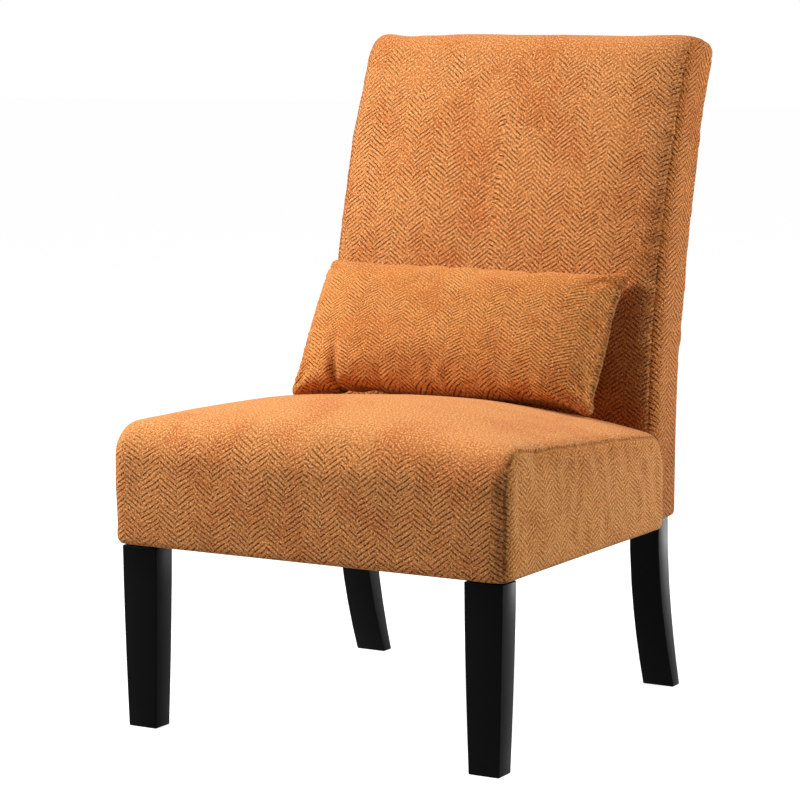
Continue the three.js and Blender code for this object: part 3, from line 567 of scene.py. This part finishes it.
# Back upholstery: one thick pad that curves backwards, in the same chenille. The front panel goes
# over the top, each side has its own panel, and a rear panel laps on to the sides.
back_width = 0.510
back_front_depth = 0.044
back_rear_depth = 0.0425
back_span = 0.641
back_sweep = 0.117
sweep_power = 2.5
back_bottom = 0.249
back_top = 0.8852
back_front_roll = 0.032
back_rear_roll = 0.021
back_hem_roll = 0.005
back_end_rolls = (0.022, 0.009, 0.005, 0.016)
back_cell = 0.0078
back_seam_inset = 0.009
rear_panel_lap = 0.007
rear_panel_drop = 0.024
seat_to_back_gap = 0.0006
back_height = back_top - back_bottom
back_seam = back_width / 2 - back_seam_inset
back_size = (back_width, back_front_depth + back_rear_depth, back_height)
spine_foot = seat_front + seat_depth + seat_to_back_gap + back_front_depth
back_shape = stuffed_block(
    "back upholstery", back_size, back_cell,
    (back_front_roll, back_rear_roll, back_hem_roll, back_hem_roll), back_end_rolls)
x, y, z = points_of(back_shape).T
behind_seat = (z < 0.165) & (y < 0.07)
held = (z < stapled_strip) | behind_seat | (y > back_size[1] - 0.004)
stuffing_pressure(back_shape, held, pressure=4, most=0.0042, frames=20)
back_shape = baked(back_shape, doubled)
rear_lap = back_size[1] - rear_panel_lap
rear_top = back_height - rear_panel_drop
cut_along(back_shape, [((side * back_seam, 0, 0), (side, 0, 0), seams_at) for side in (-1, 1)])
cut_along(back_shape, [((0, rear_lap, 0), (0, 1, 0), seams_at),
                       ((0, 0, rear_top), (0, 0, 1), seams_at)])
straight = points_of(back_shape)
x, y, z = straight.T
# A metre is added where a seam doesn't run, which keeps that stretch clear of it
from_front_seam = np.abs(np.abs(x) - back_seam) + np.where(y > rear_lap, 1, 0)
from_rear_seam = np.abs(y - rear_lap) + np.where(z > rear_top, 1, 0)
from_top_seam = np.abs(z - rear_top) + np.where(y < rear_lap, 1, 0)
from_seam = np.minimum.reduce([from_front_seam, from_rear_seam, from_top_seam])
seam_dip = bell(from_seam, 0, groove_width)


def is_rear(x, y, z):
    """Whether a place is on the rear panel."""
    return (y > rear_lap) & (z < rear_top)


def is_side(x, y, z):
    """Whether a place is on a side panel."""
    return (np.abs(x) > back_seam) & ~is_rear(x, y, z)


cloth_layer(back_shape, straight, [
    (0, lambda x, y, z: ~is_rear(x, y, z) & ~is_side(x, y, z), lambda x, y, z: x,
     lambda x, y, z: wrapped(y, z, back_size, back_front_roll, back_rear_roll)),
    (1, is_side, lambda x, y, z: y + 0.005, lambda x, y, z: z),
    (0, is_rear, lambda x, y, z: x, lambda x, y, z: z)])
# Painted shade darkens the cloth beside the side seams, widest at the front's right, and low down on the
# sides
at_side = np.abs(x) > back_seam
broken = np.clip(0.35 + unevenness(straight, size=0.006, depth=1.1), 0.05, 1)
shade_reach = np.where((x > 0) & (x < back_seam), 0.045, 0.012)
drawn = 0.38 * np.exp(-(from_front_seam / shade_reach) ** 1.5) * (1 - seam_dip)
drawn += np.where(at_side, 0.34, 0) * bell(z, middle=0, spread=0.12)
puckers = unevenness(straight * [0.3, 0.3, 1], size=0.016, depth=0.0032)
puckers = puckers * fade(from_front_seam, reach=0.022)
puckers = np.where(x > 0, puckers, 0.3 * puckers)
pulls = unevenness(straight * [1, 0.3, 0.5], size=0.035, depth=0.003)
pulls = pulls * fade(from_front_seam, reach=0.06)
pulls = np.where(at_side, 0.4 * pulls, pulls)
settled = unevenness(straight, size=0.12, depth=0.0024)
facing = outward(back_shape)
above_seat = smooth_step(z, 0.168, 0.235)
moved = (settled + puckers + pulls) * above_seat - groove_depth * seam_dip
straight = straight + facing * moved[:, None]
x, y, z = straight.T
towards_front = np.clip(1 - y / back_size[1], 0, 1)
fullness = 0.006 * above_seat * (1 - np.minimum(1, np.abs(x) / back_seam) ** 5)
middle_height = bell(z, middle=0.46, spread=0.14)
squarer = 0.005 + 0.011 * smooth_step(np.abs(x), back_width / 2 - 0.016, back_width / 2)
z = z + squarer * (1 - towards_front) * smooth_step(z, back_height - 0.06, back_height - 0.02)
y = y - (fullness + 0.003 * middle_height) * towards_front
x = x + np.sign(x) * 0.0028 * middle_height
hem_drop = (0.008 + 0.004 * towards_front) * (1 - smooth_step(z, 0, 0.12))
# The whole pad is then bent along its spine, which sweeps back towards the top
share = np.maximum(z, 0) / back_span
spine = spine_foot + back_sweep * share ** sweep_power
lean = np.arctan(back_sweep * sweep_power * share ** (sweep_power - 1) / back_span)
depth = y - back_front_depth
depth = np.where(depth < 0, depth * (1 - 0.008 * share ** 3 / back_front_depth), depth)
set_points(back_shape, np.column_stack(
    [x, spine + depth * np.cos(lean), back_bottom + z - hem_drop - depth * np.sin(lean)]))
back_shape.shade_smooth()
point_value(back_shape, "seam_and_shade", seam_dip * broken + drawn)
point_value(back_shape, "upward", np.clip(outward(back_shape)[:, 2], 0, 1))
back_cloth = chenille(
    "herringbone chenille, back", column=front_column, row=0.00615, depth=0.95, upright_shade=0.88,
    tint=("#e08f4c", "#d38040", "#3f1e0c", "#c96724"))
# The back's sides take a deeper tint of the same chenille: painted shade
back_side_cloth = chenille(
    "herringbone chenille, sides of the back", column=0.050, row=0.0068, depth=1.0, upright_shade=1.0,
    tint=("#d87e34", "#d07830", "#2f1304", "#c2621e"))
back_shape.materials.append(back_cloth)
back_shape.materials.append(back_side_cloth)
back = new_piece("back_upholstery", back_shape, "chair")
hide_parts("back_cover_front_panel", "back_cover_side_panel_left", "back_cover_side_panel_right",
            "back_cover_rear_panel", "back_foam", "back_rear_wadding")

# Lumbar pillow: two panels of the same chenille sewn round the edge and turned out, filled with
# polyester fibre. It is loose, and lies on the seat against the back.
pillow_size = (0.456, 0.118, 0.204)
pillow_cut = (0.490, 0.002, 0.254)
pillow_corners = {(-1, 1): 0.026, (1, 1): 0.008, (-1, -1): 0.014, (1, -1): 0.012}
pillow_lean = math.radians(29)
pillow_shift = -0.013
pillow_cell = 0.0062
rim_half = 0.001
end_draw = 0.008
side_draw = 0.007
seat_press = 0.002
back_press = 0.006
clearance = 0.0008
ray_height = 0.7
ray_front = -0.4
half_length, half_height = pillow_cut[0] / 2, pillow_cut[2] / 2
pillow_low, pillow_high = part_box("pillow_insert")
shape = divided_cube(pillow_cut, pillow_cell, (0, 2))
bmesh.ops.scale(shape, vec=pillow_cut, verts=shape.verts)
bmesh.ops.recalc_face_normals(shape, faces=shape.faces)
pillow_shape = mesh_from(shape, "pillow")
# The flat cut is laid out as it is sewn: swollen, with its rim drawn in and its corners rounded
flat = points_of(pillow_shape).copy()
u, w = flat[:, 0] * 2 / pillow_cut[0], flat[:, 2] * 2 / pillow_cut[2]
swell = (np.clip(1 - np.abs(u) ** 3.4, 0, 1) * np.clip(1 - np.abs(w) ** 2.8, 0, 1)) ** 0.5
sewn_x = np.abs(u) * (pillow_size[0] / 2 - end_draw * (1 - w ** 6))
sewn_z = np.abs(w) * (pillow_size[2] / 2 - side_draw * (1 - np.abs(u) ** 9))
radius = np.zeros(len(flat))
for (side, end), size in pillow_corners.items():
    radius = np.where((u * side > 0) & (w * end > 0), size, radius)
turn_x = np.maximum(sewn_x - pillow_size[0] / 2 + radius, 0)
turn_z = np.maximum(sewn_z - pillow_size[2] / 2 + radius, 0)
kept = np.maximum(turn_x, turn_z) / np.maximum(np.hypot(turn_x, turn_z), 1e-9)
kept = np.where((turn_x > 0) & (turn_z > 0), kept, 1)
sewn_x, sewn_z = sewn_x - turn_x * (1 - kept), sewn_z - turn_z * (1 - kept)
half_thick = rim_half + (pillow_size[1] / 2 - rim_half) * swell
sewn = np.column_stack([np.sign(u) * sewn_x, np.sign(flat[:, 1]) * half_thick, np.sign(w) * sewn_z])
sewn[:, 1] += unevenness(flat, size=0.025, depth=0.0008)
set_points(pillow_shape, sewn)
loose = np.zeros(len(flat), dtype=bool)
stuffing_pressure(pillow_shape, loose, pressure=3, most=0.03, frames=16, cut=flat)
filled = points_of(pillow_shape)
ranges = filled.max(0) - filled.min(0)
filled = (filled - (filled.max(0) + filled.min(0)) / 2) * np.array(pillow_size) / ranges
set_points(pillow_shape, filled)
point_value(pillow_shape, "flat_x", flat[:, 0])
point_value(pillow_shape, "flat_z", flat[:, 2])
pillow_shape = baked(pillow_shape, doubled)
count = len(pillow_shape.vertices)
flat_x, flat_z = np.empty(count), np.empty(count)
pillow_shape.attributes["flat_x"].data.foreach_get("value", flat_x)
pillow_shape.attributes["flat_z"].data.foreach_get("value", flat_z)
flat = np.column_stack([flat_x, flat_z, flat_z])
cloth_layer(pillow_shape, flat, [
    (0, lambda x, y, z: np.abs(x) < 1, lambda x, y, z: x, lambda x, y, z: z)])
to_end, to_side = half_length - np.abs(flat_x), half_height - np.abs(flat_z)
to_corner = np.hypot(to_end, to_side)
upper_share = np.clip(0.5 + flat_z / pillow_cut[2], 0, 1)
lower_share = np.clip(0.5 - flat_z / pillow_cut[2], 0, 1)
# Each corner is pushed home with a stick when the pillow is turned out, and stands up as a knob
knobs = {(-1, 1): (0.013, 0.002, 0.001), (1, 1): (0.009, 0.004, 0.004),
         (-1, -1): (0.012, 0.001, -0.006), (1, -1): (0.012, -0.002, -0.001)}
stuffed = points_of(pillow_shape)
stuffed[:, 0] += 0.006 * np.clip(-flat_x / half_length, 0, 1) ** 2 * upper_share
for (side, end), (radius, push_x, push_z) in knobs.items():
    near = bell(flat_x, side * half_length, 0.026) * bell(flat_z, end * half_height, 0.026)
    stuffed += near[:, None] * np.array([push_x, 0, push_z])
    tip = np.argmax(side * stuffed[:, 0] + end * stuffed[:, 2])
    across = (stuffed[:, 0] - stuffed[tip, 0]) * side + radius
    up = (stuffed[:, 2] - stuffed[tip, 2]) * end + radius
    away = np.hypot(across, up)
    kept = np.where((across > 0) & (up > 0), np.minimum(1, radius / np.maximum(away, 1e-9)), 1)
    stuffed[:, 0] -= side * across * (1 - kept)
    stuffed[:, 2] -= end * up * (1 - kept)
    knob = 0.5 * np.maximum(radius ** 2 - away ** 2, 0) ** 1.5
    stuffed[:, 1] = np.sign(stuffed[:, 1]) * (np.abs(stuffed[:, 1]) ** 3 + knob) ** (1 / 3)
# Folds fan out from each corner, tucks run in from the long edges and gathers from the ends
around = np.arctan2(to_side, to_end)
fan = 0.0018 * np.sin(around * 9 + np.sign(flat_x) * 1.3 + np.sign(flat_z))
fan = fan * bell(to_corner, middle=0.034, spread=0.024)
clear_of_corner = np.clip(to_corner / 0.03, 0, 1)
tuck = unevenness(flat * [1, 0.25, 0], size=0.016, depth=0.0038)
tuck = tuck * fade(to_side, reach=0.03) * clear_of_corner
gathers = unevenness(flat * [0, 0, 1], size=0.007, depth=0.0034)
gathers = gathers * fade(to_end, reach=0.016) * clear_of_corner
# The right end is turned back, and a crease runs up from the lower edge near the left end
turned_back = fade(half_length - flat_x, reach=0.034)
stuffed[:, 1] += 0.017 * turned_back
stuffed[:, 0] += 0.003 * turned_back * np.clip(1 - (flat_z / half_height) ** 2, 0, 1)
crease = bell(flat_x + 0.1 * (flat_z + half_height), middle=-0.158, spread=0.007)
crease = crease * fade(np.maximum(flat_z + 0.095, 0), reach=0.03)
stuffed[:, 1] += np.sign(stuffed[:, 1]) * (tuck + fan + gathers - 0.009 * crease)
stuffed[:, 0] += np.sign(flat_x) * 0.6 * gathers
# The top edge is lumpy, and the lower left corner sags
lumps = unevenness(flat * [1, 0, 0], size=0.028, depth=0.0036)
stuffed[:, 2] += lumps * fade(half_height - flat_z, reach=0.03)
stuffed[:, 2] -= 0.0055 * bell(flat_x, middle=-0.2, spread=0.05) * lower_share
set_points(pillow_shape, stuffed)
x, y, z = points_of(pillow_shape).T
swung_y = y * math.cos(pillow_lean) + z * math.sin(pillow_lean)
swung_z = z * math.cos(pillow_lean) - y * math.sin(pillow_lean)
middle = (pillow_low + pillow_high) / 2
pillow_points = np.column_stack([x + pillow_shift, swung_y + middle.y, swung_z + middle.z])


def skin_of(mesh):
    """A mesh's faces, ready for rays to be cast at them."""
    return BVHTree.FromPolygons([v.co for v in mesh.vertices], [p.vertices for p in mesh.polygons])


seat_skin, back_skin = skin_of(seat_shape), skin_of(back_shape)


def room_below(point):
    """How far a point is above the seat, or None where no seat is under it."""
    under = seat_skin.ray_cast(Vector((point[0], point[1], ray_height)), Vector((0, 0, -1)))[0]
    return point[2] - under.z if under else None


def room_behind(point):
    """How far a point is in front of the back, or None where no back is behind it."""
    behind = back_skin.ray_cast(Vector((point[0], ray_front, point[2])), Vector((0, 1, 0)))[0]
    return behind.y - point[1] if behind else None


# It sinks until it is pressed 2 mm flat on the seat and 6 mm flat on the back
for attempt in range(3):
    pillow_points[:, 2] -= min(r for r in map(room_below, pillow_points) if r is not None) + seat_press
    pillow_points[:, 1] += min(r for r in map(room_behind, pillow_points) if r is not None) + back_press
contact_shade = np.zeros(len(pillow_points))
for number, point in enumerate(pillow_points):
    below, behind = room_below(point), room_behind(point)
    point[2] += max(0, clearance - below) if below is not None else 0
    point[1] -= max(0, clearance - behind) if behind is not None else 0
    contact_shade[number] = math.exp(-max(0, below) / 0.005) if below is not None else 0
set_points(pillow_shape, pillow_points)
pillow_shape.shade_smooth()
# Dark along the sewn rim, with painted shade where it rests on the seat, in the crease and between the
# gathers
rim_line = 0.7 * bell(np.minimum(to_end, to_side), 0, 0.0025) * np.clip(to_corner / 0.04, 0, 1)
seam_and_shade_value = np.maximum(rim_line, 0.8 * contact_shade + 0.6 * crease)
point_value(pillow_shape, "seam_and_shade", seam_and_shade_value + 0.6 * np.clip(-gathers / 0.0012, 0, 1))
# The upper corners count as facing up, so their lines fade and they come out paler
upper_corners_paler = 0.55 * bell(to_corner, 0, 0.034) * (flat_z > 0)
point_value(pillow_shape, "upward", np.clip(outward(pillow_shape)[:, 2], 0, 1) * 0.62 + upper_corners_paler)
pillow_cloth = chenille(
    "herringbone chenille, pillow", column=0.054, row=0.0061, depth=1.0, upright_shade=0.9,
    tint=("#e38f45", "#cb762e", "#2f1404", "#cb6c24"))
pillow_shape.materials.append(pillow_cloth)
pillow = new_piece("lumbar_pillow", pillow_shape, "pillow")
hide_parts("pillow_front_panel", "pillow_back_panel", "pillow_insert")

# Legs: beech sawn to shape and sprayed with satin black lacquer. The front legs are bolted up
# into the seat's frame; each rear leg is one board with the back's post.
leg_stoutness = 1.06
sharp_angle = 0.9


def two_toned(tree, factor, colours, settings, relief=None):
    """Ends a material whose two colours, and any relief, follow one factor. relief holds the
    strength of the bump and its height in metres."""
    colour = add_node(tree, "ShaderNodeMix", {"data_type": "RGBA"},
                      {0: factor, 6: linear(colours[0]), 7: linear(colours[1])})
    inputs = {"Base Color": colour.outputs[2], **settings}
    if relief:
        strength, distance = relief
        inputs["Normal"] = add_node(tree, "ShaderNodeBump", None,
                                    {"Height": factor, "Strength": strength, "Distance": distance})
    surface = add_node(tree, "ShaderNodeBsdfPrincipled", None, inputs)
    add_node(tree, "ShaderNodeOutputMaterial", None, {"Surface": surface})


def lacquered():
    """Satin black lacquer sprayed on beech, which shows the wood's grain as faint long ridges."""
    made, tree = new_material("satin black lacquer on beech")
    place = add_node(tree, "ShaderNodeTexCoord")
    drawn = add_node(tree, "ShaderNodeMapping", None,
                     {"Vector": place.outputs["Object"], "Scale": (1, 1, 0.06)})
    grain = add_node(tree, "ShaderNodeTexNoise", None, {"Vector": drawn, "Scale": 420, "Detail": 3})
    haze = add_node(tree, "ShaderNodeTexNoise", None,
                    {"Vector": place.outputs["Object"], "Scale": 26, "Detail": 3})
    gloss = add_node(tree, "ShaderNodeMapRange", None,
                     {"Value": haze.outputs["Fac"], "To Min": 0.26, "To Max": 0.42})
    two_toned(tree, grain.outputs["Fac"], ("#030303", "#080707"),
              {"Roughness": gloss, "IOR": 1.5, "Specular IOR Level": 0.035}, relief=(0.12, 0.0005))
    return made


black_lacquer = lacquered()
for name in ("front_leg_left", "front_leg_right", "rear_post_left", "rear_post_right"):
    shape = bmesh.new()
    shape.from_mesh(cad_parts[name].data)
    bmesh.ops.remove_doubles(shape, verts=shape.verts, dist=1e-5)
    bmesh.ops.join_triangles(shape, faces=shape.faces, angle_face_threshold=0.02,
                             angle_shape_threshold=3.1)
    low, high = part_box(name)
    middle = (low + high) / 2
    deeper = leg_stoutness if name.startswith("front") else 1
    bmesh.ops.scale(shape, vec=(leg_stoutness, deeper, 1), space=Matrix.Translation(-middle),
                    verts=shape.verts)
    corners = [e for e in shape.edges if e.calc_face_angle(0) > sharp_angle]
    bmesh.ops.bevel(shape, geom=corners, offset=0.0018, segments=3, profile=0.5, affect="EDGES",
                    material=-1)
    made = mesh_from(shape, name)
    made.shade_smooth()
    made.materials.clear()
    made.materials.append(black_lacquer)
    leg = new_piece("lacquered_" + name, made, "chair")
    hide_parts(name)

# Dust cover: black non-woven cambric that closes the seat's underside. Its edge is folded under
# and stapled to the rails, and it hangs a little between them.
cover_low, cover_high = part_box("seat_dust_cover")
cover_size = cover_high - cover_low
cover_sag = 0.0022
cover_ripple = 0.0014
shape = bmesh.new()
bmesh.ops.create_grid(shape, x_segments=44, y_segments=36, size=0.5)
bmesh.ops.scale(shape, vec=(cover_size.x, cover_size.y, 1), verts=shape.verts)
bmesh.ops.translate(shape, vec=((cover_low + cover_high) / 2), verts=shape.verts)
for vert in shape.verts:
    across = (vert.co.x - cover_low.x) / cover_size.x
    along = (vert.co.y - cover_low.y) / cover_size.y
    slack = min(1, 16 * across * (1 - across)) * min(1, 16 * along * (1 - along))
    vert.co.z -= slack * (cover_sag + cover_ripple * noise.noise(vert.co / 0.05))
bmesh.ops.reverse_faces(shape, faces=shape.faces)
cambric_shape = mesh_from(shape, "dust cover")
cambric_shape.shade_smooth()

# Non-woven cambric: pressed fibres with a grid of small bond marks every 3 mm
cambric, tree = new_material("black non-woven cambric")
place = add_node(tree, "ShaderNodeTexCoord")
fibres = add_node(tree, "ShaderNodeTexNoise", None,
                  {"Vector": place.outputs["Object"], "Scale": 700, "Detail": 4, "Roughness": 0.7})
bonds = add_node(tree, "ShaderNodeTexVoronoi", None,
                 {"Vector": place.outputs["Object"], "Scale": 330, "Randomness": 0.0})
marks = add_node(tree, "ShaderNodeMapRange", None,
                 {"Value": bonds.outputs["Distance"], "From Min": 0.15, "From Max": 0.35})
shade = add_node(tree, "ShaderNodeMath", {"operation": "MULTIPLY"}, {0: fibres.outputs["Fac"], 1: marks})
two_toned(tree, shade, ("#0d0d0d", "#2b2b2b"), {"Roughness": 0.85}, relief=(0.5, 0.0004))
cambric_shape.materials.append(cambric)
dust_cover = new_piece("cambric_dust_cover", cambric_shape, "chair")
thick = dust_cover.modifiers.new("thickness", "SOLIDIFY")
thick.thickness = 0.0005
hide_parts("seat_dust_cover")

# Staples: galvanised wire crowns 10 mm long, one every 40 mm or so, driven through the dust
# cover's edge into the rails.
staple_gap = 0.041
staple_inset = 0.007
staple_size = (0.010, 0.0013, 0.0008)
zinc, tree = new_material("zinc-plated steel")
place = add_node(tree, "ShaderNodeTexCoord")
# Zinc plating: a cool, slightly cloudy grey, with fine scratches
spangle = add_node(tree, "ShaderNodeTexNoise", None,
                   {"Vector": place.outputs["Object"], "Scale": 260, "Detail": 4})
dullness = add_node(tree, "ShaderNodeMapRange", None,
                    {"Value": spangle.outputs["Fac"], "To Min": 0.28, "To Max": 0.5})
two_toned(tree, spangle.outputs["Fac"], ("#a9adb2", "#cdd0d3"),
          {"Metallic": 1.0, "Roughness": dullness})
shape = bmesh.new()
runs = [(0, cover_low.x, cover_high.x), (1, cover_low.y, cover_high.y)]
for axis, start, end in runs:
    count = round((end - start) / staple_gap)
    for number in range(count):
        along = start + (end - start) * (number + 0.5) / count
        for edge, inward in ((cover_low[1 - axis], 1), (cover_high[1 - axis], -1)):
            spot = [0, 0, cover_low.z - 0.0006]
            spot[axis], spot[1 - axis] = along, edge + inward * staple_inset
            turn = Matrix.Rotation(math.radians(90 * axis + 6 * math.sin(37 * number)), 4, "Z")
            wire = bmesh.ops.create_cube(shape, size=1)["verts"]
            bmesh.ops.scale(shape, vec=staple_size, verts=wire)
            bmesh.ops.transform(shape, matrix=Matrix.Translation(spot) @ turn, verts=wire)
bmesh.ops.bevel(shape, geom=shape.edges, offset=0.0003, segments=1, profile=0.5, affect="EDGES",
                material=-1)
staple_shape = mesh_from(shape, "staples")
staple_shape.materials.append(zinc)
new_piece("dust_cover_staples", staple_shape, "chair")

# Inside the upholstery: a pine frame held by hanger bolts, tee nuts and insert nuts, elastic
# webbing tacked across it, and a felt pad between the seat's webbing and foam.


def dress(names, finish):
    """Gives carried-over solids a finish."""
    for name in names:
        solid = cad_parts[name].data
        solid.materials.clear()
        solid.materials.append(finish)


# Pine: pale softwood with growth rings about 4 mm apart, sawn and left bare
pine, tree = new_material("sawn pine")
place = add_node(tree, "ShaderNodeTexCoord")
bend = add_node(tree, "ShaderNodeTexNoise", None,
                {"Vector": place.outputs["Object"], "Scale": 9, "Detail": 2})
swayed = add_node(tree, "ShaderNodeVectorMath", {"operation": "MULTIPLY_ADD"},
                  {0: bend.outputs["Color"], 1: (0.02, 0.02, 0.02), 2: place.outputs["Object"]})
rings = add_node(tree, "ShaderNodeTexWave", {"bands_direction": "Z"},
                 {"Vector": swayed, "Scale": 80, "Distortion": 3, "Detail": 2})
two_toned(tree, rings.outputs["Fac"], ("#d9bb8a", "#b98f58"), {"Roughness": 0.75},
          relief=(0.3, 0.0005))

# Elastic webbing: rubber threads covered with polypropylene, with slanting ribs 7 mm apart
webbing, tree = new_material("elastic webbing")
place = add_node(tree, "ShaderNodeTexCoord")
ribs = add_node(tree, "ShaderNodeTexWave", {"bands_direction": "DIAGONAL"},
                {"Vector": place.outputs["Object"], "Scale": 60})
two_toned(tree, ribs.outputs["Fac"], ("#1f1f1e", "#3d3c39"), {"Roughness": 0.8},
          relief=(0.5, 0.0005))

# Felt: pressed grey fibres with darker flecks
felt, tree = new_material("pressed felt")
place = add_node(tree, "ShaderNodeTexCoord")
flecks = add_node(tree, "ShaderNodeTexNoise", None,
                  {"Vector": place.outputs["Object"], "Scale": 300, "Detail": 5, "Roughness": 0.8})
two_toned(tree, flecks.outputs["Fac"], ("#6f6d69", "#a3a09a"), {"Roughness": 0.95})

dress([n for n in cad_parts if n.endswith("_rail") or "_rail_" in n or "corner_block" in n], pine)
dress([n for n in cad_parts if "webbing" in n], webbing)
dress([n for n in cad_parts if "bolt" in n or "nut" in n], zinc)
dress(["seat_deck_pad"], felt)
